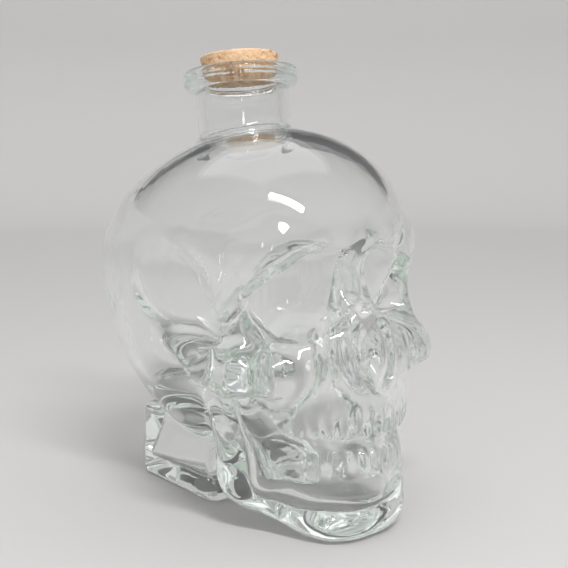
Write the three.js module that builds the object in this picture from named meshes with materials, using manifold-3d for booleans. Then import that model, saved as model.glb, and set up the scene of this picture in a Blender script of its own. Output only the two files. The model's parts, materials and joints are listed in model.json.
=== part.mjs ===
// Skull bottle: one piece of clear moulded glass, a hollow skull on a square foot with a flanged
// neck, closed by a tapered cork. Millimetres, +Z up, the face looks along -Y, and the bottle
// stands at Z = 0 on its foot and chin, with the origin under the middle of its box.

import * as THREE from 'three';
import { mergeVertices } from 'three/addons/utils/BufferGeometryUtils.js';
import { RoundedBoxGeometry } from 'three/addons/geometries/RoundedBoxGeometry.js';
import Module from 'manifold-3d';

// Glass thickness
const wall = 4.2;
const baseThickness = 7;

// Neck and flanged lip, on an axis that leans towards the back of the head
const neckHeight = 27.3;
const neckSetBack = 5.5;
const neckLean = THREE.MathUtils.degToRad(6);
const neckWall = 4;
const neckFlare = 3;
const lipHeight = 6;
const lipOverhang = 4.1;
const lipRounding = 2;
const boreRadius = 14.2;

// Cork: its taper is radius gained for each millimetre of height
const corkDepth = 5;
const corkProud = 5.5;
const corkTaper = 0.15;
const corkChamfer = 0.7;
const corkClearance = 0.35;

// Foot block under the back of the head
const footWidth = 50;
const footLength = 53;
const footHeight = 31.5;
const footMiddle = 21;
const footRounding = 5;
const footHollowTaper = 0.5;

// Swellings of the skull, given for the side where X is positive and mirrored to the other.
// An ellipsoid has its middle and half sizes, a bar its two ends and end radii. Blend is the
// width over which a form melts into the ones before it, and midlineBlend does so for the mirror.
const midlineBlend = 1;
const cranium = { at: [0, 7, 98.5], half: [53, 62.5, 41.5], nod: -12 };
const forehead = { at: [0, -19, 101.5], half: [46.5, 40, 37.5], blend: 30 };
const occiput = { at: [0, 20.5, 63], half: [41.5, 38, 35], blend: 34 };
const maxilla = { at: [0, -41, 59], half: [31, 29, 31], blend: 18 };
const browRidge = { from: [0, -52, 101], to: [29, -47, 102.5], radius: [5, 5], blend: 14 };
const browTail = { from: [29, -47, 102.5], to: [38.5, -41.5, 96.5], radius: [5, 4.5], blend: 10 };
const nasalBones = { from: [0, -50, 90], to: [0, -62.5, 80.5], radius: [4.5, 4], blend: 8 };
const cheekFront = { from: [28, -50, 61], to: [41, -43.5, 60.5], radius: [8, 9], blend: 12 };
const cheekEnd = { from: [41, -43.5, 60.5], to: [46, -30, 61.5], radius: [8, 4], blend: 8 };
const cheekArch = { from: [46, -30, 61.5], to: [41, -6, 65], radius: [4, 3], blend: 12 };
const orbitRim = { from: [39, -43, 68], to: [36, -40.5, 91], radius: [5, 4], blend: 9 };
const rimBack = { from: [36.5, -37, 70], to: [35, -35, 92], radius: [5, 4.5], blend: 12 };
const chin = { at: [0, -53.5, 11], half: [20, 16, 16], blend: 12 };
const jawBody = { from: [8, -55, 12], to: [24.5, -30, 19.5], radius: [12.5, 12], blend: 14 };
const jawRamus = { from: [23.5, -28, 24.5], to: [34.5, -22, 56.5], radius: [10, 8], blend: 14 };
const mouthCore = { at: [0, -34, 31.5], half: [27, 34, 26], blend: 16 };
const upperArch = { at: [0, -45, 47.5], half: [25, 27, 13], blend: 10 };
const lowerArch = { at: [0, -43, 25.5], half: [24, 27, 12], blend: 10 };
const mastoid = { at: [29, 2, 43.5], half: [8, 10, 12], blend: 16 };
const skullBase = { at: [0, 10, 43.5], half: [33, 36, 20], blend: 14 };

// Soft hollows of the skull
const temple = { at: [64, -19.5, 82], half: [24, 25, 25], blend: 7 };
const cheekHollow = { at: [41, -40, 43], half: [13, 21, 12], blend: 6 };
const nasion = { at: [0, -65, 93], half: [13, 9.5, 9], blend: 8 };

// Deep hollows, cut as solids. The nose and the mouth are ellipsoids, and the socket is a turned,
// rounded box: its roof droops to the outer side, its floor lifts to the inner side, and its outer
// wall flares towards the floor and is pinched in towards the roof, each by a share of its size.
const eyeSocket = { at: [21, -58, 86], half: [12.5, 21, 14], rounding: 10, yaw: -16, roll: -5 };
const socketDroop = 0.45;
const socketLift = 0.5;
const socketFlare = 0.9;
const socketPinch = 0.3;
const noseHollow = { at: [3.2, -72, 66.5], half: [6.6, 12.5, 13], roll: 14 };
const mouthLine = { at: [0, -76, 36.5], half: [40, 12, 3.4] };

// Teeth stand along each arch, from the middle outwards
const teethEachSide = 8;
const upperTooth = { half: [2.5, 2.5, 6], step: 10.6, drop: 2.6 };
const lowerTooth = { half: [2.4, 2.4, 4.4], step: 10.2, drop: -3.9 };
const toothSink = 1.2;

// The skin of the head is drawn out from its core in steps, each a share of the depth that is left
const core = new THREE.Vector3(0, -32, 64);
const drawSteps = 60;
const drawShare = 0.7;

// Facets
const outerFacets = { around: 64, down: 44 };
const innerFacets = { around: 26, down: 20 };
const roundFacets = 36;
const arcFacets = 3;
const cornerFacets = 3;
const toothFacets = { around: 8, down: 6 };
const hollowFacets = { around: 16, down: 12 };

const sideways = new THREE.Vector3(1, 0, 0);
const tiny = 1e-6;

const wasm = await Module();
wasm.setup();

// Solids for joining and cutting
function toSolid(geometry) {
  const bare = geometry.clone();
  bare.deleteAttribute('normal');
  bare.deleteAttribute('uv');
  const merged = mergeVertices(bare, 1e-4);
  const vertProperties = new Float32Array(merged.attributes.position.array);
  const triVerts = new Uint32Array(merged.index.array);
  return new wasm.Manifold(new wasm.Mesh({ numProp: 3, vertProperties, triVerts }));
}

function toGeometry(solid) {
  const mesh = solid.getMesh();
  const geometry = new THREE.BufferGeometry();
  geometry.setAttribute('position', new THREE.BufferAttribute(mesh.vertProperties, 3));
  geometry.setIndex(new THREE.BufferAttribute(mesh.triVerts, 1));
  geometry.computeVertexNormals();
  return geometry;
}

function join(geometries) {
  return geometries.map(toSolid).reduce((whole, piece) => whole.add(piece));
}

// Depth of a point in a form: negative inside, positive outside
function ellipsoidDepth(point, form) {
  const half = new THREE.Vector3(...form.half);
  const scaled = point.clone().sub(new THREE.Vector3(...form.at));
  scaled.applyAxisAngle(sideways, -THREE.MathUtils.degToRad(form.nod ?? 0)).divide(half);
  const reach = scaled.length() + tiny;
  return (reach * (reach - 1)) / (scaled.divide(half).length() + tiny);
}

function barDepth(point, form) {
  const line = new THREE.Line3(new THREE.Vector3(...form.from), new THREE.Vector3(...form.to));
  const along = line.closestPointToPointParameter(point, true);
  const radius = THREE.MathUtils.lerp(...form.radius, along);
  return line.at(along, new THREE.Vector3()).distanceTo(point) - radius;
}

function formDepth(point, form) {
  return form.from ? barDepth(point, form) : ellipsoidDepth(point, form);
}

function melt(a, b, blend) {
  const share = Math.max(blend - Math.abs(a - b), 0) / blend;
  return Math.min(a, b) - (share ** 3 * blend) / 6;
}

const swellings = [
  forehead, occiput, maxilla, browRidge, browTail, nasalBones, cheekFront, cheekEnd, cheekArch,
  orbitRim, rimBack, chin, jawBody, jawRamus, mouthCore, upperArch, lowerArch, mastoid, skullBase,
];
const softHollows = [temple, cheekHollow, nasion];

function skullDepth(point) {
  const mirrored = point.clone().setX(Math.hypot(point.x, midlineBlend));
  let depth = ellipsoidDepth(mirrored, cranium);
  for (const form of swellings) depth = melt(depth, formDepth(mirrored, form), form.blend);
  for (const form of softHollows) depth = -melt(-depth, formDepth(mirrored, form), form.blend);
  return depth;
}

function cavityDepth(point) {
  return Math.max(skullDepth(point) + wall, baseThickness - point.z);
}

// A sphere drawn out from the core, along each direction, to where the depth is nil
function wrap(depthAt, facets) {
  const geometry = new THREE.SphereGeometry(1, facets.around, facets.down).rotateX(Math.PI / 2);
  const position = geometry.attributes.position;
  const direction = new THREE.Vector3();
  const point = new THREE.Vector3();
  for (let i = 0; i < position.count; i += 1) {
    direction.fromBufferAttribute(position, i).normalize();
    let reach = 0;
    for (let step = 0; step < drawSteps; step += 1) {
      reach -= drawShare * depthAt(point.copy(core).addScaledVector(direction, reach));
    }
    position.setXYZ(i, ...point.copy(core).addScaledVector(direction, reach));
  }
  return geometry;
}

// The socket's box, with its outer wall on the given side
function socketBox(half, rounding, side) {
  const box = new RoundedBoxGeometry(...half.map((size) => 2 * size), cornerFacets, rounding);
  const position = box.attributes.position;
  for (let i = 0; i < position.count; i += 1) {
    const outward = (side * position.getX(i)) / half[0];
    const lean = position.getZ(i) > 0 ? -socketDroop * outward : socketLift * Math.min(outward, 0);
    const height = position.getZ(i) * (1 + lean);
    const flare = 1 + socketFlare * THREE.MathUtils.clamp(-height / half[2], -socketPinch, 1);
    position.setZ(i, height);
    if (outward > 0) position.setX(i, position.getX(i) * flare);
  }
  return box;
}

// Eye sockets, nose and mouth, mirrored to both sides and grown by a margin
function deepHollows(margin) {
  const pieces = [];
  for (const form of [eyeSocket, noseHollow, mouthLine]) {
    const half = form.half.map((size) => size + margin);
    for (const side of form.at[0] ? [-1, 1] : [0]) {
      const hollow = form.rounding
        ? socketBox(half, form.rounding + margin, side)
        : new THREE.SphereGeometry(1, hollowFacets.around, hollowFacets.down).scale(...half);
      hollow.rotateY(side * THREE.MathUtils.degToRad(form.roll ?? 0));
      hollow.rotateZ(side * THREE.MathUtils.degToRad(form.yaw ?? 0));
      pieces.push(hollow.translate(side * form.at[0], form.at[1], form.at[2]));
    }
  }
  return join(pieces);
}

// Heights along the neck's axis, counted from the crown of the head
const crown = new THREE.Vector3(0, neckSetBack, cranium.at[2] + cranium.half[2]);
const neckRadius = boreRadius + neckWall;
const lipRadius = neckRadius + lipOverhang;
const lipEdge = Math.min(lipRounding, lipHeight / 2, lipOverhang);
const corkFoot = neckHeight - corkDepth;
const mouthRadius = (height) => boreRadius + corkTaper * Math.max(height - corkFoot, 0);

function onNeck(geometry) {
  return geometry.rotateX(Math.PI / 2 - neckLean).translate(...crown);
}

function lathe(outline) {
  return new THREE.LatheGeometry(outline, roundFacets);
}

function neckGeometry() {
  const root = -wall - neckFlare;
  const outline = new THREE.Path();
  outline.moveTo(0, root);
  outline.lineTo(neckRadius + neckFlare, root);
  outline.absarc(neckRadius + neckFlare, root + 2 * neckFlare, neckFlare, -Math.PI / 2, -Math.PI, true);
  outline.lineTo(neckRadius, neckHeight - lipHeight);
  outline.lineTo(lipRadius - lipEdge, neckHeight - lipHeight);
  outline.absarc(lipRadius - lipEdge, neckHeight - lipHeight + lipEdge, lipEdge, -Math.PI / 2, 0);
  outline.absarc(lipRadius - lipEdge, neckHeight - lipEdge, lipEdge, 0, Math.PI / 2);
  outline.lineTo(0, neckHeight);
  return onNeck(lathe(outline.getPoints(arcFacets)));
}

function boreGeometry() {
  const outline = [
    new THREE.Vector2(0, -2 * wall),
    new THREE.Vector2(boreRadius, -2 * wall),
    new THREE.Vector2(boreRadius, corkFoot),
    new THREE.Vector2(mouthRadius(neckHeight + wall), neckHeight + wall),
    new THREE.Vector2(0, neckHeight + wall),
  ];
  return onNeck(lathe(outline));
}

function corkGeometry() {
  const radius = (height) => mouthRadius(height) - corkClearance;
  const foot = corkFoot;
  const top = neckHeight + corkProud;
  const outline = [
    new THREE.Vector2(0, foot),
    new THREE.Vector2(radius(foot) - corkChamfer, foot),
    new THREE.Vector2(radius(foot + corkChamfer), foot + corkChamfer),
    new THREE.Vector2(radius(top - corkChamfer), top - corkChamfer),
    new THREE.Vector2(radius(top) - corkChamfer, top),
    new THREE.Vector2(0, top),
  ];
  return lathe(outline).rotateX(Math.PI / 2);
}

// The foot reaches below the table line until the base is cut flat
function footGeometry() {
  const height = footHeight + 2 * footRounding;
  const block = new RoundedBoxGeometry(footWidth, footLength, height, cornerFacets, footRounding);
  return block.translate(0, footMiddle, footHeight - height / 2);
}

// The hollow of the foot narrows upwards into the hollow of the head
function footHollowGeometry() {
  const height = footHeight + wall - baseThickness;
  const hollow = new THREE.CylinderGeometry(footHollowTaper * Math.SQRT2, Math.SQRT2, height, 4);
  hollow.rotateY(Math.PI / 4).rotateX(Math.PI / 2);
  hollow.scale(footWidth / 2 - wall, footLength / 2 - wall, 1);
  return hollow.translate(0, footMiddle, baseThickness + height / 2);
}

function toothRow(arch, tooth) {
  const row = [];
  for (let i = 0; i < teethEachSide; i += 1) {
    for (const side of [-1, 1]) {
      const turn = THREE.MathUtils.degToRad((i + 0.5) * tooth.step);
      const x = side * (arch.half[0] - toothSink) * Math.sin(turn);
      const y = arch.at[1] - (arch.half[1] - toothSink) * Math.cos(turn);
      const bump = new THREE.SphereGeometry(1, toothFacets.around, toothFacets.down);
      bump.rotateX(Math.PI / 2).scale(...tooth.half).rotateZ(side * turn);
      row.push(bump.translate(x, y, arch.at[2] - tooth.drop));
    }
  }
  return row;
}

function bottleGeometry() {
  const outside = join([
    wrap(skullDepth, outerFacets),
    footGeometry(),
    neckGeometry(),
    ...toothRow(upperArch, upperTooth),
    ...toothRow(lowerArch, lowerTooth),
  ]);
  const headHollow = toSolid(wrap(cavityDepth, innerFacets)).subtract(deepHollows(wall));
  const inside = headHollow.add(join([footHollowGeometry(), boreGeometry()]));
  const glassBody = outside.subtract(deepHollows(0)).subtract(inside);
  return toGeometry(glassBody.trimByPlane([0, 0, 1], 0));
}

const glass = new THREE.MeshStandardMaterial({ color: 0xd3ddd6, roughness: 0.05, metalness: 0 });
const agglomerate = new THREE.MeshStandardMaterial({ color: 0xc98f5c, roughness: 0.9, metalness: 0 });

const bottle = new THREE.Mesh(bottleGeometry(), glass);
bottle.name = 'skull_bottle';

const cork = new THREE.Mesh(corkGeometry(), agglomerate);
cork.name = 'cork_stopper';
cork.position.copy(crown);
cork.rotation.x = -neckLean;

const skullBottle = new THREE.Group();
skullBottle.add(bottle, cork);
const extent = new THREE.Box3().setFromObject(bottle);
skullBottle.position.y = -(extent.min.y + extent.max.y) / 2;

export default skullBottle;
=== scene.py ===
import json
import math

import bpy
import numpy as np
from mathutils import Matrix, Vector


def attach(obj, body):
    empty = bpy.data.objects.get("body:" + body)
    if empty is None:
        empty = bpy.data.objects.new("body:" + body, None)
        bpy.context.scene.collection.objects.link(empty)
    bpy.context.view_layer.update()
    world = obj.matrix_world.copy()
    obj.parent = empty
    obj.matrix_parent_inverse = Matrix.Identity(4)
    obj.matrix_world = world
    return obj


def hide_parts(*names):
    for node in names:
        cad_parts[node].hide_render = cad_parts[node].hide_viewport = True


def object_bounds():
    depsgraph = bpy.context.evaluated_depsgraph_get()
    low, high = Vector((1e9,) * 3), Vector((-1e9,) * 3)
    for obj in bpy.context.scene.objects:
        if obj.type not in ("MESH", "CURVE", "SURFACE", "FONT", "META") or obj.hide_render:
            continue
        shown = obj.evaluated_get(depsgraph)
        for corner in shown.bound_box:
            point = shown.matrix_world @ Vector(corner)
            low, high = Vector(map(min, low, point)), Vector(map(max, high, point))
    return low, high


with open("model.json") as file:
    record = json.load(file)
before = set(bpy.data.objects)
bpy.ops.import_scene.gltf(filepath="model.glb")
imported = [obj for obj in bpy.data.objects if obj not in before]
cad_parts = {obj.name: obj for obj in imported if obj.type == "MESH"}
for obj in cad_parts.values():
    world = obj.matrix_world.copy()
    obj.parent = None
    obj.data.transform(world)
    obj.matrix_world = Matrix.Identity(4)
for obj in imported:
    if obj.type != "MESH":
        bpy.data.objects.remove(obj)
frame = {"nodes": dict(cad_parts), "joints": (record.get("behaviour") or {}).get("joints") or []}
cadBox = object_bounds()
scene = bpy.context.scene
scene.view_settings.view_transform = "Standard"
toMetres = 0.001
formShift = 2.011  # millimetres from the forms' Y to the frame's Y
# added to lengths before a division by them
small = 1e-6
tiny = 1e-9
print("frame loaded:", sorted(frame["nodes"]))

# camera, fitted to the photograph: millimetres and pixels of the square picture
photoView = {
    "azimuth": -38.0,
    "axisDistance": 365.0,
    "axisShift": formShift,
    "height": 133.5,
    "focal": 930.0,
    "picture": 568,
    "axisColumn": 254,
    "horizonRow": 157,
    "sensor": 36.0,
    "clip": (0.01, 50),  # metres
}


def makeCamera(view):
    turn = math.radians(view["azimuth"])
    middle = view["picture"] / 2
    yaw = math.atan((middle - view["axisColumn"]) / view["focal"])
    pitch = math.atan((middle - view["horizonRow"]) / view["focal"])
    ahead = Vector((-math.sin(turn - yaw), math.cos(turn - yaw), 0))
    look = ahead * math.cos(pitch) - Vector((0, 0, math.sin(pitch)))
    lens = bpy.data.cameras.new("photoCamera")
    lens.sensor_width = view["sensor"]
    lens.lens = view["focal"] / view["picture"] * view["sensor"]
    lens.clip_start, lens.clip_end = view["clip"]
    camera = bpy.data.objects.new("photoCamera", lens)
    scene.collection.objects.link(camera)
    reach = view["axisDistance"]
    spot = (math.sin(turn) * reach, view["axisShift"] - math.cos(turn) * reach, view["height"])
    camera.location = Vector(spot) * toMetres
    camera.rotation_euler = look.to_track_quat("-Z", "Y").to_euler()
    scene.camera = camera
    print("camera placed at", [round(v, 4) for v in camera.location])


makeCamera(photoView)


# small helpers for node trees
def addNode(tree, kind, inputs=None, **settings):
    node = tree.nodes.new(kind)
    for name, value in settings.items():
        setattr(node, name, value)
    for name, value in (inputs or {}).items():
        socket = node.inputs[name]
        if isinstance(value, bpy.types.NodeSocket):
            tree.links.new(value, socket)
        else:
            socket.default_value = value
    return node


def newMaterial(name):
    material = bpy.data.materials.new(name)
    material.use_nodes = True
    tree = material.node_tree
    tree.nodes.clear()
    shader = addNode(tree, "ShaderNodeBsdfPrincipled")
    output = addNode(tree, "ShaderNodeOutputMaterial")
    tree.links.new(shader.outputs["BSDF"], output.inputs["Surface"])
    return material, tree, shader


def objectPlace(tree):
    return addNode(tree, "ShaderNodeTexCoord").outputs["Object"]


def noise(tree, place, scale, detail):
    return addNode(tree, "ShaderNodeTexNoise", {"Vector": place, "Scale": scale, "Detail": detail})


def granules(tree, place, scale, feature):
    return addNode(tree, "ShaderNodeTexVoronoi", {"Vector": place, "Scale": scale}, feature=feature)


def spread(tree, value, start, end, low=0.0, high=1.0):
    limits = {"From Min": start, "From Max": end, "To Min": low, "To Max": high}
    return addNode(tree, "ShaderNodeMapRange", {"Value": value, **limits}).outputs["Result"]


def colourRamp(tree, factor, stops):
    ramp = addNode(tree, "ShaderNodeValToRGB", {"Fac": factor})
    elements = ramp.color_ramp.elements
    while len(elements) < len(stops):
        elements.new(0.5)
    for element, (position, colour) in zip(elements, stops):
        element.position = position
        element.color = (*colour, 1)
    return ramp.outputs["Color"]


def mixColour(tree, factor, a, b):
    node = addNode(tree, "ShaderNodeMix", data_type="RGBA")
    # the colour sockets of this node share their names with others, so they are taken by number
    for index, value in ((0, factor), (6, a), (7, b)):
        if isinstance(value, bpy.types.NodeSocket):
            tree.links.new(value, node.inputs[index])
        else:
            node.inputs[index].default_value = (*value, 1) if index else value
    return node.outputs[2]


# skull bottle: forms in millimetres for the side where X is positive, mirrored to the other
bottle = {
    "shift": formShift,
    "pitch": 1.34,
    "gridMargin": 3.0,
    "evenRounds": 2,
    "evenShare": 0.5,
    "settleRounds": 2,
    "settleReach": 0.6,  # shares of the pitch
    "leastSlope": 1e-4,
    "midlineBlend": 1.0,
    "floor": 8.0,
    "floorBlend": 7.0,
    "swellings": [
        {"name": "cranium", "at": (0, 7, 98.5), "half": (53, 62.5, 41.5), "nod": -12},
        {"name": "forehead", "at": (0, -19, 101.5), "half": (46.5, 40, 37.5), "blend": 30},
        {"name": "occiput", "at": (0, 20.5, 63), "half": (41.5, 38, 35), "blend": 34},
        {"name": "maxilla", "at": (0, -41, 59), "half": (31, 29, 31), "blend": 18},
        {"name": "browRidge", "from": (0, -52, 101), "to": (29, -47, 102.5), "radius": (5, 5), "blend": 14},
        {"name": "browTail", "from": (29, -47, 102.5), "to": (38.5, -41.5, 96.5), "radius": (5, 4.5),
         "blend": 10},
        {"name": "nasalBones", "from": (0, -50, 90), "to": (0, -62.5, 80.5), "radius": (4.5, 4), "blend": 8},
        {"name": "cheekFront", "from": (28, -50, 61), "to": (41, -43.5, 60.5), "radius": (8, 9),
         "blend": 12},
        {"name": "cheekEnd", "from": (41, -43.5, 60.5), "to": (46, -30, 61.5), "radius": (8, 4), "blend": 8},
        {"name": "cheekArch", "from": (46, -30, 61.5), "to": (41, -6, 65), "radius": (4, 3), "blend": 12},
        {"name": "orbitRim", "from": (39, -43, 68), "to": (36, -40.5, 91), "radius": (5, 4), "blend": 9},
        {"name": "rimBack", "from": (36.5, -37, 70), "to": (35, -35, 92), "radius": (5, 4.5), "blend": 12},
        {"name": "chin", "at": (0, -53.5, 11), "half": (20, 16, 16), "blend": 12},
        {"name": "jawBody", "from": (8, -55, 12), "to": (24.5, -30, 19.5), "radius": (12.5, 12),
         "blend": 14},
        {"name": "jawRamus", "from": (23.5, -28, 24.5), "to": (34.5, -22, 56.5), "radius": (10, 8),
         "blend": 14},
        {"name": "mouthCore", "at": (0, -34, 31.5), "half": (27, 34, 26), "blend": 16},
        {"name": "upperArch", "at": (0, -45, 47.5), "half": (25, 27, 13), "blend": 10},
        {"name": "lowerArch", "at": (0, -43, 25.5), "half": (24, 27, 12), "blend": 10},
        {"name": "mastoid", "at": (29, 2, 43.5), "half": (8, 10, 12), "blend": 16},
        {"name": "skullBase", "at": (0, 10, 43.5), "half": (33, 36, 20), "blend": 14},
    ],
    "rooms": [  # the hollow of the head, smoother than its outside
        {"name": "skullRoom", "at": (0, 7, 98.5), "half": (49.5, 59, 38), "nod": -12},
        {"name": "foreheadRoom", "at": (0, -19, 101.5), "half": (43, 36.5, 34), "blend": 30},
        {"name": "occiputRoom", "at": (0, 20.5, 63), "half": (36.5, 33, 32), "blend": 34},
        {"name": "faceRoom", "at": (0, -38, 59), "half": (33.5, 26, 27), "blend": 20},
        {"name": "browRoom", "from": (0, -46, 102), "to": (29, -41.5, 103), "radius": (5, 5), "blend": 12},
        {"name": "tailRoom", "from": (29, -41.5, 103), "to": (37, -36.5, 97.5), "radius": (5, 4.5),
         "blend": 8},
        {"name": "mouthRoom", "at": (0, -37, 37), "half": (21, 29, 20), "blend": 16},
        {"name": "throatRoom", "at": (0, -10, 46), "half": (22, 22, 16), "blend": 14},
        {"name": "jawRoom", "at": (0, -46, 20), "half": (19, 22, 14), "blend": 14},
        {"name": "ramusRoom", "from": (19, -33, 20), "to": (25, -31, 50), "radius": (6.5, 5.5), "blend": 14},
    ],
    "leastWall": 2.8,
    "leastBlend": 3.0,
    "softHollows": [
        {"name": "temple", "at": (64, -19.5, 82), "half": (24, 25, 25), "blend": 7},
        {"name": "cheekHollow", "at": (41, -40, 43), "half": (13, 21, 12), "blend": 6},
        {"name": "nasion", "at": (0, -65, 93), "half": (13, 9.5, 9), "blend": 8},
    ],
    "deepHollows": [
        {"name": "eyeSocket", "at": (21, -58, 86), "half": (12.5, 21, 14), "rounding": 10,
         "droop": 0.45, "lift": 0.5, "flare": 0.9, "pinch": 0.3, "asideLimit": 1.2, "yaw": -16, "roll": -5,
         "blend": 4.5, "topBlend": 14, "topBlendFrom": -0.5, "innerBlend": 6},
        {"name": "noseHollow", "at": (3.2, -72, 66.5), "half": (6.6, 12.5, 13), "roll": 14, "blend": 3,
         "innerBlend": 8},
        {"name": "mouthLine", "at": (0, -76, 36.5), "half": (40, 12, 3.4), "blend": 3, "innerBlend": 8},
    ],
    "teethEachSide": 8,
    "toothSink": 1.2,
    "toothBlend": 1.6,
    "toothZone": {"back": -25.0, "low": 16.0, "high": 58.0},
    "toothRows": [
        {"arch": "upperArch", "half": (2.5, 2.5, 6), "step": 10.6, "drop": 2.6},
        {"arch": "lowerArch", "half": (2.4, 2.4, 4.4), "step": 10.2, "drop": -3.9},
    ],
    "foot": {"at": (0, 21), "half": (25, 26.5), "top": 31.5, "halfHeight": 40, "rounding": 5.0, "blend": 5},
    "footHollow": {"margin": 4.2, "floor": 8.0, "top": 39.0, "narrowing": 0.45, "riseLimits": (-1, 1.2),
                   "edge": 3.0, "blend": 6},
    "baseEdge": 5.0,
    "neck": {"crown": (0, 5.5, 140), "lean": 6.0, "height": 27.3, "radius": 18.2, "blend": 5,
             "tubeBelowRim": 1.0, "lipRadius": 22.3, "lipHeight": 7.2, "lipEdge": 0.9, "lipBlend": 1.2,
             "lipGroove": 0.8, "upperBevel": (1.4, 1.3), "lowerBevel": (1.8, 1.7),
             "bore": 14.2, "corkFoot": 22.3, "taper": 0.15, "boreBlend": 6, "root": -9.0, "rimEdge": 1.0},
    "ripple": {"outer": 0.05, "inner": 0.22, "wave": 26.0, "waves": 5, "spread": 1.7, "fade": 10.0,
               "fullTurn": 6.28, "seed": 7},
    "normalStep": 0.25,
}


def turnMatrix(axis, degrees):
    return np.array(Matrix.Rotation(math.radians(degrees), 3, axis), np.float32)


def melt(a, b, blend):
    share = np.maximum(blend - np.abs(a - b), 0) / blend
    return np.minimum(a, b) - share**3 * (blend / 6)


def carve(a, b, blend):
    return -melt(-a, b, blend)


def keepWithin(a, b, blend):
    return -melt(-a, -b, blend)


def length(v):
    return np.sqrt((v * v).sum(-1))


def ellipsoidDepth(points, at, half, turn=None):
    local = points - np.array(at, np.float32)
    if turn is not None:
        local = local @ turn
    half = np.array(half, np.float32)
    scaled = local / half
    reach = length(scaled) + small
    return reach * (reach - 1) / (length(scaled / half) + small)


def barDepth(points, form):
    start, end = np.array(form["from"], np.float32), np.array(form["to"], np.float32)
    line = end - start
    along = np.clip((points - start) @ line / (line @ line), 0, 1)
    first, last = form["radius"]
    return length(points - start - along[:, None] * line) - (first + (last - first) * along)


def roundBoxDepth(local, half, rounding):
    over = np.abs(local) - (np.array(half, np.float32) - rounding)
    return length(np.maximum(over, 0)) + np.minimum(over.max(-1), 0) - rounding


def formDepth(points, form):
    if "from" in form:
        return barDepth(points, form)
    turn = turnMatrix("X", form["nod"]) if "nod" in form else None
    return ellipsoidDepth(points, form["at"], form["half"], turn)


def meltAll(points, forms):
    depth = formDepth(points, forms[0])
    for form in forms[1:]:
        depth = melt(depth, formDepth(points, form), form["blend"])
    return depth


def hollowDepth(points, form, margin=0.0):
    turn = turnMatrix("Z", form.get("yaw", 0)) @ turnMatrix("Y", form.get("roll", 0))
    half = [size + margin for size in form["half"]]
    if "rounding" in form:
        local = (points - np.array(form["at"], np.float32)) @ turn
        flare = 1 + form["flare"] * np.clip(-local[:, 2] / half[2], -form["pinch"], 1)
        local[:, 0] = np.where(local[:, 0] > 0, local[:, 0] / flare, local[:, 0])
        aside = np.clip(local[:, 0] / half[0], -form["asideLimit"], form["asideLimit"])
        roof = 1 - form["droop"] * aside
        sill = 1 + form["lift"] * np.minimum(aside, 0)
        local[:, 2] /= np.where(local[:, 2] > 0, roof, sill)
        return roundBoxDepth(local, half, form["rounding"] + margin)
    return ellipsoidDepth(points, form["at"], half, turn)


def neckPlace(points):
    neck = bottle["neck"]
    lean = math.radians(neck["lean"])
    local = points - np.array(neck["crown"], np.float32)
    height = local[:, 1] * math.sin(lean) + local[:, 2] * math.cos(lean)
    back = local[:, 1] * math.cos(lean) - local[:, 2] * math.sin(lean)
    return np.hypot(local[:, 0], back), height


def lipDepth(radius, height):
    neck = bottle["neck"]
    over = radius - neck["lipRadius"]
    depth = over
    below = neck["height"] - neck["lipHeight"] - height
    for bevel, rise in (("upperBevel", height - neck["height"]), ("lowerBevel", below)):
        out, down = neck[bevel]
        slant = (over * down + (rise + down) * out) / math.hypot(out, down)
        depth = keepWithin(keepWithin(depth, rise, neck["lipEdge"]), slant, neck["lipEdge"])
    groove = np.hypot(over, height - neck["height"] + neck["lipHeight"] / 2) - neck["lipGroove"]
    return carve(depth, groove, neck["lipEdge"])


def skullDepth(points):
    mirrored = points.copy()
    mirrored[:, 0] = np.hypot(points[:, 0], bottle["midlineBlend"])
    depth = meltAll(mirrored, bottle["swellings"])
    for form in bottle["softHollows"]:
        depth = carve(depth, formDepth(mirrored, form), form["blend"])
    return depth, mirrored


def teethDepth(points, depth):
    arches = {form["name"]: form for form in bottle["swellings"]}
    zone = bottle["toothZone"]
    level = (points[:, 2] > zone["low"]) & (points[:, 2] < zone["high"])
    near = np.flatnonzero(level & (points[:, 1] < zone["back"]))
    folded = points[near]
    folded[:, 0] = np.abs(folded[:, 0])
    closeUp = depth[near]
    for row in bottle["toothRows"]:
        arch = arches[row["arch"]]
        for i in range(bottle["teethEachSide"]):
            angle = (i + 0.5) * row["step"]
            turn = math.radians(angle)
            at = (
                (arch["half"][0] - bottle["toothSink"]) * math.sin(turn),
                arch["at"][1] - (arch["half"][1] - bottle["toothSink"]) * math.cos(turn),
                arch["at"][2] - row["drop"],
            )
            tooth = ellipsoidDepth(folded, at, row["half"], turnMatrix("Z", angle))
            closeUp = melt(closeUp, tooth, bottle["toothBlend"])
    depth = depth.copy()
    depth[near] = closeUp
    return depth


def outsideDepth(points, skull, mirrored):
    depth = skull
    for form in bottle["deepHollows"]:
        blend = form["blend"]
        if "topBlend" in form:
            start = form["topBlendFrom"]
            rise = np.clip((points[:, 2] - form["at"][2]) / form["half"][2], start, 1)
            blend = blend + (form["topBlend"] - blend) * (rise - start) / (1 - start)
        depth = carve(depth, hollowDepth(mirrored, form), blend)
    depth = teethDepth(points, depth)
    foot, neck = bottle["foot"], bottle["neck"]
    middle = np.array((*foot["at"], foot["top"] - foot["halfHeight"]), np.float32)
    block = roundBoxDepth(points - middle, (*foot["half"], foot["halfHeight"]), foot["rounding"])
    depth = melt(depth, block, foot["blend"])
    radius, height = neckPlace(points)
    ends = np.maximum(height - neck["height"] + neck["tubeBelowRim"], neck["root"] - height)
    depth = melt(depth, np.maximum(radius - neck["radius"], ends), neck["blend"])
    depth = melt(depth, lipDepth(radius, height), neck["lipBlend"])
    return keepWithin(depth, -points[:, 2], bottle["baseEdge"])


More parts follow.
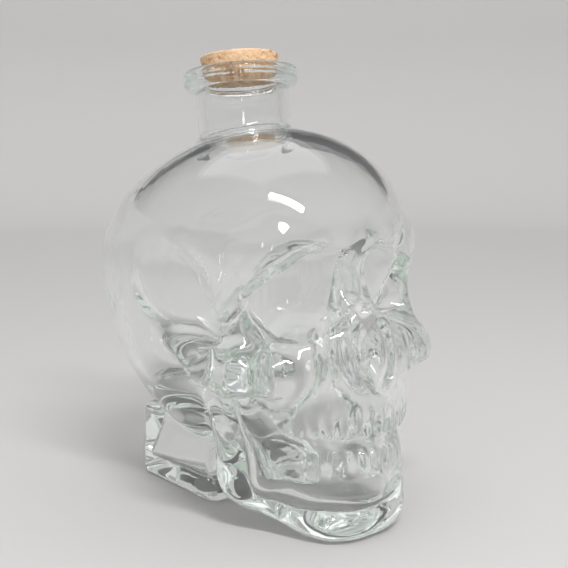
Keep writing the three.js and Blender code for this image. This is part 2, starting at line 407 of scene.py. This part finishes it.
def insideDepth(points, skull, mirrored):
    neck, hollow, foot = bottle["neck"], bottle["footHollow"], bottle["foot"]
    depth = meltAll(mirrored, bottle["rooms"])
    depth = keepWithin(depth, skull + bottle["leastWall"], bottle["leastBlend"])
    depth = keepWithin(depth, bottle["floor"] - points[:, 2], bottle["floorBlend"])
    for form in bottle["deepHollows"]:
        depth = carve(depth, hollowDepth(mirrored, form, bottle["leastWall"]), form["innerBlend"])
    rise = (points[:, 2] - hollow["floor"]) / (hollow["top"] - hollow["floor"])
    rise = np.clip(rise, *hollow["riseLimits"])
    shrink = 1 - (1 - hollow["narrowing"]) * rise
    sides = [
        np.abs(points[:, k] - foot["at"][k]) - (foot["half"][k] - hollow["margin"]) * shrink for k in (0, 1)
    ]
    pyramid = keepWithin(sides[0], sides[1], hollow["edge"])
    pyramid = keepWithin(pyramid, hollow["floor"] - points[:, 2], hollow["edge"])
    pyramid = keepWithin(pyramid, points[:, 2] - hollow["top"], hollow["edge"])
    depth = melt(depth, pyramid, hollow["blend"])
    radius, height = neckPlace(points)
    bore = radius - neck["bore"] - neck["taper"] * np.maximum(height - neck["corkFoot"], 0)
    bore = np.maximum(bore, neck["root"] - height)
    return melt(depth, bore, neck["boreBlend"])


def makeWaves(ripple):
    ways = np.random.default_rng(ripple["seed"]).normal(size=(ripple["waves"], 3)).astype(np.float32)
    phases = np.random.default_rng(ripple["seed"] + 1).uniform(0, ripple["fullTurn"], ripple["waves"])
    perLength = ripple["fullTurn"] / ripple["wave"] / ripple["spread"]
    return ways * perLength, phases.astype(np.float32)


waves, wavePhases = makeWaves(bottle["ripple"])


def glassDepth(points, rippled=True):
    skull, mirrored = skullDepth(points)
    outside = outsideDepth(points, skull, mirrored)
    inside = insideDepth(points, skull, mirrored)
    if rippled:
        ripple = bottle["ripple"]
        swell = np.sin(points @ waves.T + wavePhases).mean(-1)
        belowNeck = np.clip(-neckPlace(points)[1] / ripple["fade"], 0, 1)
        outside = outside + ripple["outer"] * swell
        inside = inside + ripple["inner"] * swell * belowNeck
    return keepWithin(outside, -inside, bottle["neck"]["rimEdge"])


def slope(points, step, depth):
    steps = np.eye(3, dtype=np.float32) * step
    return np.stack([(glassDepth(points + s) - depth) / step for s in steps], -1)


# even net of quads over the zero level of a field on a grid
def netSurface(field, origin, pitch):
    inside = field < 0
    cells = tuple(n - 1 for n in field.shape)
    count = np.zeros(cells, np.uint8)
    for corner in np.ndindex(2, 2, 2):
        count += inside[tuple(slice(c, c + n) for c, n in zip(corner, cells))]
    active = (count > 0) & (count < 8)
    ids = np.full(cells, -1, np.int64)
    where = np.argwhere(active)
    ids[active] = np.arange(len(where))
    total, hits = np.zeros((len(where), 3)), np.zeros(len(where))
    for axis in range(3):
        sides = [k for k in range(3) if k != axis]
        for first, second in np.ndindex(2, 2):
            start = where.copy()
            start[:, sides[0]] += first
            start[:, sides[1]] += second
            end = start.copy()
            end[:, axis] += 1
            low, high = field[tuple(start.T)], field[tuple(end.T)]
            crossed = (low < 0) != (high < 0)
            spot = start[crossed].astype(float)
            spot[:, axis] += low[crossed] / (low[crossed] - high[crossed])
            total[crossed] += spot
            hits[crossed] += 1
    points = np.array(origin) + pitch * total / hits[:, None]
    quads = []
    for axis in range(3):
        b, c = (axis + 1) % 3, (axis + 2) % 3
        low = [slice(1, -1)] * 3
        high = [slice(1, -1)] * 3
        low[axis], high[axis] = slice(0, -1), slice(1, None)
        first, last = inside[tuple(low)], inside[tuple(high)]
        spots = np.argwhere(first != last)
        outward = first[tuple(spots.T)]
        spots[:, b] += 1
        spots[:, c] += 1
        ring = []
        for db, dc in ((-1, -1), (0, -1), (0, 0), (-1, 0)):
            cell = spots.copy()
            cell[:, b] += db
            cell[:, c] += dc
            ring.append(ids[tuple(cell.T)])
        ring = np.stack(ring, -1)
        ring[~outward] = ring[~outward][:, ::-1]
        quads.append(ring)
    return points.astype(np.float32), np.concatenate(quads)


def evenOut(points, quads, rounds):
    edges = np.concatenate([quads[:, [k, (k + 1) % 4]] for k in range(4)])
    edges = np.unique(np.sort(edges, axis=1), axis=0)
    links = np.bincount(edges.ravel(), minlength=len(points))
    share = bottle["evenShare"]
    for _ in range(rounds):
        total = np.zeros_like(points)
        np.add.at(total, edges[:, 0], points[edges[:, 1]])
        np.add.at(total, edges[:, 1], points[edges[:, 0]])
        points = (1 - share) * points + share * total / links[:, None]
        points = settle(points, 1)
    return points


def settle(points, rounds):
    reach = bottle["settleReach"] * bottle["pitch"]
    for _ in range(rounds):
        depth = glassDepth(points)
        lean = slope(points, bottle["normalStep"], depth)
        steep = (lean * lean).sum(-1) + bottle["leastSlope"]
        move = -depth[:, None] * lean / steep[:, None]
        far = length(move)[:, None] + tiny
        points = (points + move * np.minimum(1, reach / far)).astype(np.float32)
    return points


def meshFrom(name, points, quads, normals=None):
    mesh = bpy.data.meshes.new(name)
    mesh.vertices.add(len(points))
    mesh.vertices.foreach_set("co", points.astype(np.float32).ravel())
    mesh.loops.add(quads.size)
    mesh.loops.foreach_set("vertex_index", quads.astype(np.int32).ravel())
    mesh.polygons.add(len(quads))
    mesh.polygons.foreach_set("loop_start", np.arange(0, quads.size, 4, dtype=np.int32))
    mesh.polygons.foreach_set("use_smooth", np.ones(len(quads), bool))
    mesh.update(calc_edges=True)
    mesh.validate()
    if normals is not None:
        mesh.normals_split_custom_set_from_vertices(normals.tolist())
    return mesh


def makeBottle():
    pitch = bottle["pitch"]
    low = np.array(cadBox[0]) / toMetres - bottle["gridMargin"]
    high = np.array(cadBox[1]) / toMetres + bottle["gridMargin"]
    halfCount = int(math.ceil(high[0] / pitch))
    xs = (np.arange(halfCount) + 0.5) * pitch
    ys = np.arange(low[1], high[1], pitch) - bottle["shift"]
    zs = np.arange(low[2], high[2], pitch)
    half = np.empty((len(xs), len(ys), len(zs)), np.float32)
    for i, x in enumerate(xs):
        plane = np.stack(np.meshgrid([x], ys, zs, indexing="ij"), -1)
        plane = plane.reshape(-1, 3).astype(np.float32)
        half[i] = glassDepth(plane, rippled=False).reshape(len(ys), len(zs))
    field = np.concatenate([half[::-1], half])
    points, quads = netSurface(field, (-xs[-1], ys[0], zs[0]), pitch)
    points = settle(points, 1)
    points = evenOut(points, quads, bottle["evenRounds"])
    points = settle(points, bottle["settleRounds"])
    step = bottle["normalStep"]
    depth = glassDepth(points)
    normals = slope(points, step, depth) + slope(points, -step, depth)
    normals /= length(normals)[:, None] + tiny
    points[:, 1] += bottle["shift"]
    mesh = meshFrom("bottleGlass", points * toMetres, quads, normals)
    piece = bpy.data.objects.new("bottle_glass", mesh)
    scene.collection.objects.link(piece)
    print("bottle glass:", len(points), "points,", 2 * len(quads), "triangles")
    return piece


clearGlass = {
    "colour": (0.985, 0.995, 0.988),
    "ior": 1.5,
    "tint": (0.80, 0.92, 0.83),
    "tintDensity": 3.2,
    "smooth": 0.0,
    "hazy": 0.045,
    "hazeScale": 35.0,
    "hazeDetail": 4,
    "hazeSpan": (0.5, 0.8),
    "waveScale": 55.0,
    "waveDetail": 2,
    "waveDepth": 0.00012,
    "chillScale": 620.0,
    "chillDetail": 3,
    "chillDepth": 0.00006,
    "chillAt": (0.0, -0.062, 0.048),
    "chillCore": 0.0135,
    "chillReach": 0.045,
}


def makeGlassMaterial():
    material, tree, shader = newMaterial("clearGlass")
    place = objectPlace(tree)
    shader.inputs["Base Color"].default_value = (*clearGlass["colour"], 1)
    shader.inputs["Transmission Weight"].default_value = 1
    shader.inputs["IOR"].default_value = clearGlass["ior"]
    haze = noise(tree, place, clearGlass["hazeScale"], clearGlass["hazeDetail"]).outputs["Fac"]
    rough = spread(tree, haze, *clearGlass["hazeSpan"], clearGlass["smooth"], clearGlass["hazy"])
    tree.links.new(rough, shader.inputs["Roughness"])
    # chill marks from the mould, only about the nose and the teeth
    away = {0: place, 1: clearGlass["chillAt"]}
    fromMouth = addNode(tree, "ShaderNodeVectorMath", away, operation="DISTANCE").outputs["Value"]
    near = spread(tree, fromMouth, clearGlass["chillCore"], clearGlass["chillReach"], 1.0, 0.0)
    grain = noise(tree, place, clearGlass["chillScale"], clearGlass["chillDetail"]).outputs["Fac"]
    chill = addNode(tree, "ShaderNodeMath", {0: grain, 1: near}, operation="MULTIPLY").outputs["Value"]
    chillBump = addNode(tree, "ShaderNodeBump", {"Height": chill, "Distance": clearGlass["chillDepth"]})
    wave = noise(tree, place, clearGlass["waveScale"], clearGlass["waveDetail"]).outputs["Fac"]
    waveBump = addNode(
        tree, "ShaderNodeBump",
        {"Height": wave, "Distance": clearGlass["waveDepth"], "Normal": chillBump.outputs["Normal"]},
    )
    tree.links.new(waveBump.outputs["Normal"], shader.inputs["Normal"])
    tint = addNode(tree, "ShaderNodeVolumeAbsorption")
    tint.inputs["Color"].default_value = (*clearGlass["tint"], 1)
    tint.inputs["Density"].default_value = clearGlass["tintDensity"]
    tree.links.new(tint.outputs["Volume"], tree.nodes["Material Output"].inputs["Volume"])
    return material


bottlePiece = makeBottle()
bottlePiece.data.materials.append(makeGlassMaterial())

# cork: a tapered lathe of pressed granules, sizes in metres
cork = {
    "Foot Radius": 0.01395,
    "Top Radius": 0.0155,
    "Height": 0.0105,
    "Edge": 0.0009,
    "Granule Size": 0.0019,
    "Wobble": 0.0011,
    "Seam Depth": 0.00016,
    "Pit Depth": 0.0007,
    "Pit Share": 0.13,
    "Grain Depth": 0.00012,
    "Grain Scale": 1900.0,
    "Seed": 3.0,
}
corkMesh = {
    "around": 260,
    "side": 46,
    "fill": 40,
    "leastReach": 1e-4,
    "leastRadius": 1e-5,
    "wobbleDetail": 2.0,
    "grainDetail": 3.0,
    "pitSpan": (0.02, 0.22),
    "seamSpan": (0.0, 0.09),
}


def makeCorkTree(material):
    tree = bpy.data.node_groups.new("corkLathe", "GeometryNodeTree")
    for name in cork:
        tree.interface.new_socket(name=name, in_out="INPUT", socket_type="NodeSocketFloat")
    tree.interface.new_socket(name="Geometry", in_out="OUTPUT", socket_type="NodeSocketGeometry")
    given = addNode(tree, "NodeGroupInput").outputs

    def calc(operation, *values):
        return addNode(tree, "ShaderNodeMath", dict(enumerate(values)), operation=operation).outputs["Value"]

    def vectorCalc(operation, *values):
        return addNode(tree, "ShaderNodeVectorMath", dict(enumerate(values)), operation=operation).outputs[0]

    cone = addNode(
        tree, "GeometryNodeMeshCone",
        {"Vertices": corkMesh["around"], "Side Segments": corkMesh["side"],
         "Fill Segments": corkMesh["fill"], "Radius Top": given["Top Radius"],
         "Radius Bottom": given["Foot Radius"], "Depth": given["Height"]},
        fill_type="TRIANGLE_FAN",
    )
    place = addNode(tree, "GeometryNodeInputPosition").outputs["Position"]
    split = addNode(tree, "ShaderNodeSeparateXYZ", {"Vector": place}).outputs
    radius = addNode(tree, "ShaderNodeVectorMath", {0: vectorCalc("MULTIPLY", place, (1, 1, 0))},
                     operation="LENGTH").outputs["Value"]
    rise = calc("DIVIDE", split["Z"], given["Height"])
    widening = calc("SUBTRACT", given["Top Radius"], given["Foot Radius"])
    outer = calc("MULTIPLY_ADD", rise, widening, given["Foot Radius"])
    # both rims are rounded: the square corner is drawn back on to a quarter circle
    sideRoom = calc("SUBTRACT", radius, calc("SUBTRACT", outer, given["Edge"]))
    overOut = calc("DIVIDE", calc("MAXIMUM", sideRoom, 0.0), given["Edge"])
    halfHeight = calc("MULTIPLY", given["Height"], 0.5)
    fromMiddle = calc("SUBTRACT", split["Z"], halfHeight)
    endRoom = calc("SUBTRACT", calc("ABSOLUTE", fromMiddle), calc("SUBTRACT", halfHeight, given["Edge"]))
    overEnd = calc("DIVIDE", calc("MAXIMUM", endRoom, 0.0), given["Edge"])
    corner = calc("ADD", calc("MULTIPLY", overOut, overOut), calc("MULTIPLY", overEnd, overEnd))
    reach = calc("MAXIMUM", calc("SQRT", corner), corkMesh["leastReach"])
    pull = calc("SUBTRACT", 1.0, calc("DIVIDE", calc("MAXIMUM", overOut, overEnd), reach))
    pull = calc("MULTIPLY", pull, given["Edge"])
    safeRadius = calc("MAXIMUM", radius, corkMesh["leastRadius"])
    backOut = calc("DIVIDE", calc("MULTIPLY", pull, overOut), safeRadius)
    backEnd = calc("MULTIPLY", calc("MULTIPLY", pull, overEnd), calc("SIGN", fromMiddle))
    inward = addNode(
        tree, "ShaderNodeCombineXYZ",
        {"X": calc("MULTIPLY", calc("MULTIPLY", split["X"], backOut), -1.0),
         "Y": calc("MULTIPLY", calc("MULTIPLY", split["Y"], backOut), -1.0),
         "Z": calc("MULTIPLY", backEnd, -1.0)},
    ).outputs["Vector"]
    rounded = addNode(tree, "GeometryNodeSetPosition", {"Geometry": cone.outputs["Mesh"], "Offset": inward})
    # granules: seams between them, a few fallen out, and a fine grain all over
    scale = calc("DIVIDE", 1.0, given["Granule Size"])
    offset = addNode(tree, "ShaderNodeCombineXYZ", {"X": given["Seed"]}).outputs["Vector"]
    seeded = vectorCalc("ADD", place, offset)
    wobble = noise(tree, seeded, scale, corkMesh["wobbleDetail"]).outputs["Color"]
    bend = addNode(tree, "ShaderNodeVectorMath", {0: wobble, "Scale": given["Wobble"]}, operation="SCALE")
    bent = vectorCalc("ADD", seeded, bend.outputs["Vector"])
    toSeam = granules(tree, bent, scale, "DISTANCE_TO_EDGE").outputs["Distance"]
    lot = granules(tree, bent, scale, "F1").outputs["Color"]
    draw = addNode(tree, "ShaderNodeSeparateXYZ", {"Vector": lot}).outputs["X"]
    fallen = calc("LESS_THAN", draw, given["Pit Share"])
    core = spread(tree, toSeam, *corkMesh["pitSpan"])
    edge = spread(tree, toSeam, *corkMesh["seamSpan"], 1.0, 0.0)
    grain = noise(tree, seeded, given["Grain Scale"], corkMesh["grainDetail"]).outputs["Fac"]
    sunk = calc(
        "ADD",
        calc("MULTIPLY", calc("MULTIPLY", fallen, core), given["Pit Depth"]),
        calc("MULTIPLY_ADD", edge, given["Seam Depth"], calc("MULTIPLY", grain, given["Grain Depth"])),
    )
    normal = addNode(tree, "GeometryNodeInputNormal").outputs["Normal"]
    inwards = {0: normal, "Scale": calc("MULTIPLY", sunk, -1.0)}
    dent = addNode(tree, "ShaderNodeVectorMath", inwards, operation="SCALE").outputs["Vector"]
    pressed = addNode(
        tree, "GeometryNodeSetPosition", {"Geometry": rounded.outputs["Geometry"], "Offset": dent}
    )
    smooth = addNode(tree, "GeometryNodeSetShadeSmooth", {"Geometry": pressed.outputs["Geometry"]})
    real = addNode(tree, "GeometryNodeRealizeInstances", {"Geometry": smooth.outputs["Geometry"]})
    finish = addNode(
        tree, "GeometryNodeSetMaterial", {"Geometry": real.outputs["Geometry"], "Material": material}
    )
    addNode(tree, "NodeGroupOutput", {"Geometry": finish.outputs["Geometry"]})
    return tree


corkFinish = {
    "light": (0.93, 0.66, 0.42),
    "middle": (0.87, 0.57, 0.33),
    "dark": (0.60, 0.32, 0.15),
    "pit": (0.26, 0.12, 0.05),
    "tones": [(0.0, "dark"), (0.16, "middle"), (0.55, "light"), (1.0, "middle")],
    "fleckScale": 900.0,
    "fleckDetail": 5.0,
    "fleckSpan": (0.58, 0.72),
    "fleckShare": 0.75,
    "seamSpan": (0.0, 0.06),
    "seamShare": 0.35,
    "roughness": 0.88,
    "bumpDepth": 0.00012,
}


def makeCorkMaterial():
    material, tree, shader = newMaterial("pressedCork")
    place = objectPlace(tree)
    scale = 1 / cork["Granule Size"]
    wobble = noise(tree, place, scale, corkMesh["wobbleDetail"]).outputs["Color"]
    bend = addNode(tree, "ShaderNodeVectorMath", {0: wobble, "Scale": cork["Wobble"]}, operation="SCALE")
    bent = addNode(tree, "ShaderNodeVectorMath", {0: place, 1: bend.outputs["Vector"]}, operation="ADD")
    bent = bent.outputs["Vector"]
    lot = granules(tree, bent, scale, "F1").outputs["Color"]
    draw = addNode(tree, "ShaderNodeSeparateXYZ", {"Vector": lot}).outputs["Y"]
    stops = [(position, corkFinish[tone]) for position, tone in corkFinish["tones"]]
    tones = colourRamp(tree, draw, stops)
    flecks = noise(tree, place, corkFinish["fleckScale"], corkFinish["fleckDetail"]).outputs["Fac"]
    fleckAmount = spread(tree, flecks, *corkFinish["fleckSpan"], 0.0, corkFinish["fleckShare"])
    flecked = mixColour(tree, fleckAmount, tones, corkFinish["dark"])
    toSeam = granules(tree, bent, scale, "DISTANCE_TO_EDGE").outputs["Distance"]
    seamAmount = spread(tree, toSeam, *corkFinish["seamSpan"], corkFinish["seamShare"], 0.0)
    seamed = mixColour(tree, seamAmount, flecked, corkFinish["pit"])
    tree.links.new(seamed, shader.inputs["Base Color"])
    shader.inputs["Roughness"].default_value = corkFinish["roughness"]
    bump = addNode(tree, "ShaderNodeBump", {"Height": flecks, "Distance": corkFinish["bumpDepth"]})
    tree.links.new(bump.outputs["Normal"], shader.inputs["Normal"])
    return material


def bakeNodes(name, tree, values):
    carrier = bpy.data.objects.new(name + "Carrier", bpy.data.meshes.new(name + "Carrier"))
    scene.collection.objects.link(carrier)
    modifier = carrier.modifiers.new("shape", "NODES")
    modifier.node_group = tree
    for item in tree.interface.items_tree:
        if item.in_out == "INPUT":
            modifier[item.identifier] = values[item.name]
    grown = carrier.evaluated_get(bpy.context.evaluated_depsgraph_get())
    mesh = bpy.data.meshes.new_from_object(grown)
    carrier.modifiers.remove(modifier)
    bpy.data.objects.remove(carrier)
    mesh.name = name
    return mesh


def makeCork():
    node = frame["nodes"]["cork_stopper"]
    spots = np.array([v.co for v in node.data.vertices])
    axis = np.array(frame["joints"][0]["axis"])
    middle = spots.mean(0)
    footSpot = middle + axis * ((spots @ axis).min() - middle @ axis)
    mesh = bakeNodes("pressedCork", makeCorkTree(makeCorkMaterial()), cork)
    upright = Vector((0, 0, 1)).rotation_difference(Vector(axis)).to_matrix().to_4x4()
    mesh.transform(Matrix.Translation(Vector(footSpot)) @ upright)
    piece = bpy.data.objects.new("cork_granules", mesh)
    scene.collection.objects.link(piece)
    mesh.calc_loop_triangles()
    print("cork:", len(mesh.loop_triangles), "triangles, foot at", footSpot.round(5))
    return piece


corkPiece = makeCork()

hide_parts("skull_bottle")
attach(bottlePiece, "bottle")
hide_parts("cork_stopper")
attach(corkPiece, "cork")

# stage: a pale round floor that sweeps up to a wall, a sky that is brighter in front, and soft lamps
stage = {
    "floorRadius": 1.4,
    "sweepRadius": 0.4,
    "wallHeight": 0.61,
    "spokes": 128,
    "sweepSteps": 24,
    "pinhole": 1e-4,
    "roughness": 0.8,
    "colour": (0.64, 0.63, 0.62),
    "skyColour": (0.98, 0.98, 1.0),
    "skyFront": (-0.6, -0.8, 0.0),
    "skyBright": 1.05,
    "skyDim": 0.05,
    "lamps": [
        {"name": "keySoftbox", "at": (-0.22, -0.64, 0.84), "aim": (0, 0, 0.09),
         "along": (0.341, -0.434, -0.264), "size": (0.5, 0.07), "power": 6.0},
        {"name": "overheadSoftbox", "at": (0.3, 0.5, 2.2), "aim": (0, 0, 0.09), "along": (1, 0, 0),
         "size": (2.2, 2.2), "power": 12.0},
        {"name": "frontStrip", "at": (-0.6, -0.8, 0.24), "aim": (0, 0, 0.13), "along": (0, 0, 1),
         "size": (0.25, 0.05), "power": 0.5},
    ],
}


def makeFloor():
    spokes, sweep = stage["spokes"], stage["sweepRadius"]
    turn = np.linspace(0, math.pi / 2, stage["sweepSteps"])
    bend = stage["floorRadius"] + sweep * np.sin(turn)
    out = np.concatenate([[stage["pinhole"]], bend, bend[-1:]])
    up = np.concatenate([[0], sweep * (1 - np.cos(turn)), [stage["wallHeight"]]])
    angles = np.linspace(0, math.tau, spokes, endpoint=False)
    points = [np.outer(out, np.cos(angles)), np.outer(out, np.sin(angles)), np.outer(up, np.ones(spokes))]
    points = np.stack(points, -1).reshape(-1, 3)
    ring, spoke = np.meshgrid(np.arange(len(out) - 1), np.arange(spokes), indexing="ij")
    after = (spoke + 1) % spokes
    inner, outer = ring * spokes, (ring + 1) * spokes
    quads = np.stack([inner + spoke, outer + spoke, outer + after, inner + after], -1).reshape(-1, 4)
    floor = bpy.data.objects.new("paleFloor", meshFrom("paleFloor", points, quads))
    scene.collection.objects.link(floor)
    material, _, shader = newMaterial("paleFloor")
    shader.inputs["Base Color"].default_value = (*stage["colour"], 1)
    shader.inputs["Roughness"].default_value = stage["roughness"]
    floor.data.materials.append(material)


def makeSky():
    world = bpy.data.worlds.new("studio")
    scene.world = world
    world.use_nodes = True
    tree = world.node_tree
    sky = tree.nodes["Background"]
    sky.inputs["Color"].default_value = (*stage["skyColour"], 1)
    around = addNode(tree, "ShaderNodeTexCoord").outputs["Generated"]
    ahead = addNode(tree, "ShaderNodeVectorMath", {0: around, 1: stage["skyFront"]}, operation="DOT_PRODUCT")
    level = spread(tree, ahead.outputs["Value"], -1.0, 1.0, stage["skyDim"], stage["skyBright"])
    tree.links.new(level, sky.inputs["Strength"])


def makeLamps():
    for lamp in stage["lamps"]:
        light = bpy.data.lights.new(lamp["name"], "AREA")
        light.shape = "RECTANGLE"
        light.size, light.size_y = lamp["size"]
        light.energy = lamp["power"]
        holder = bpy.data.objects.new(lamp["name"], light)
        holder.location = lamp["at"]
        back = (holder.location - Vector(lamp["aim"])).normalized()
        rise = back.cross(Vector(lamp["along"])).normalized()
        holder.rotation_euler = Matrix((rise.cross(back), rise, back)).transposed().to_euler()
        scene.collection.objects.link(holder)
    print("stage: floor, sky and", len(stage["lamps"]), "lamps")


makeFloor()
makeSky()
makeLamps()

# light goes to and fro many times between the walls of the glass
lightBounces = {"max_bounces": 96, "glossy_bounces": 72, "transmission_bounces": 96}
for name, count in lightBounces.items():
    setattr(scene.cycles, name, count)
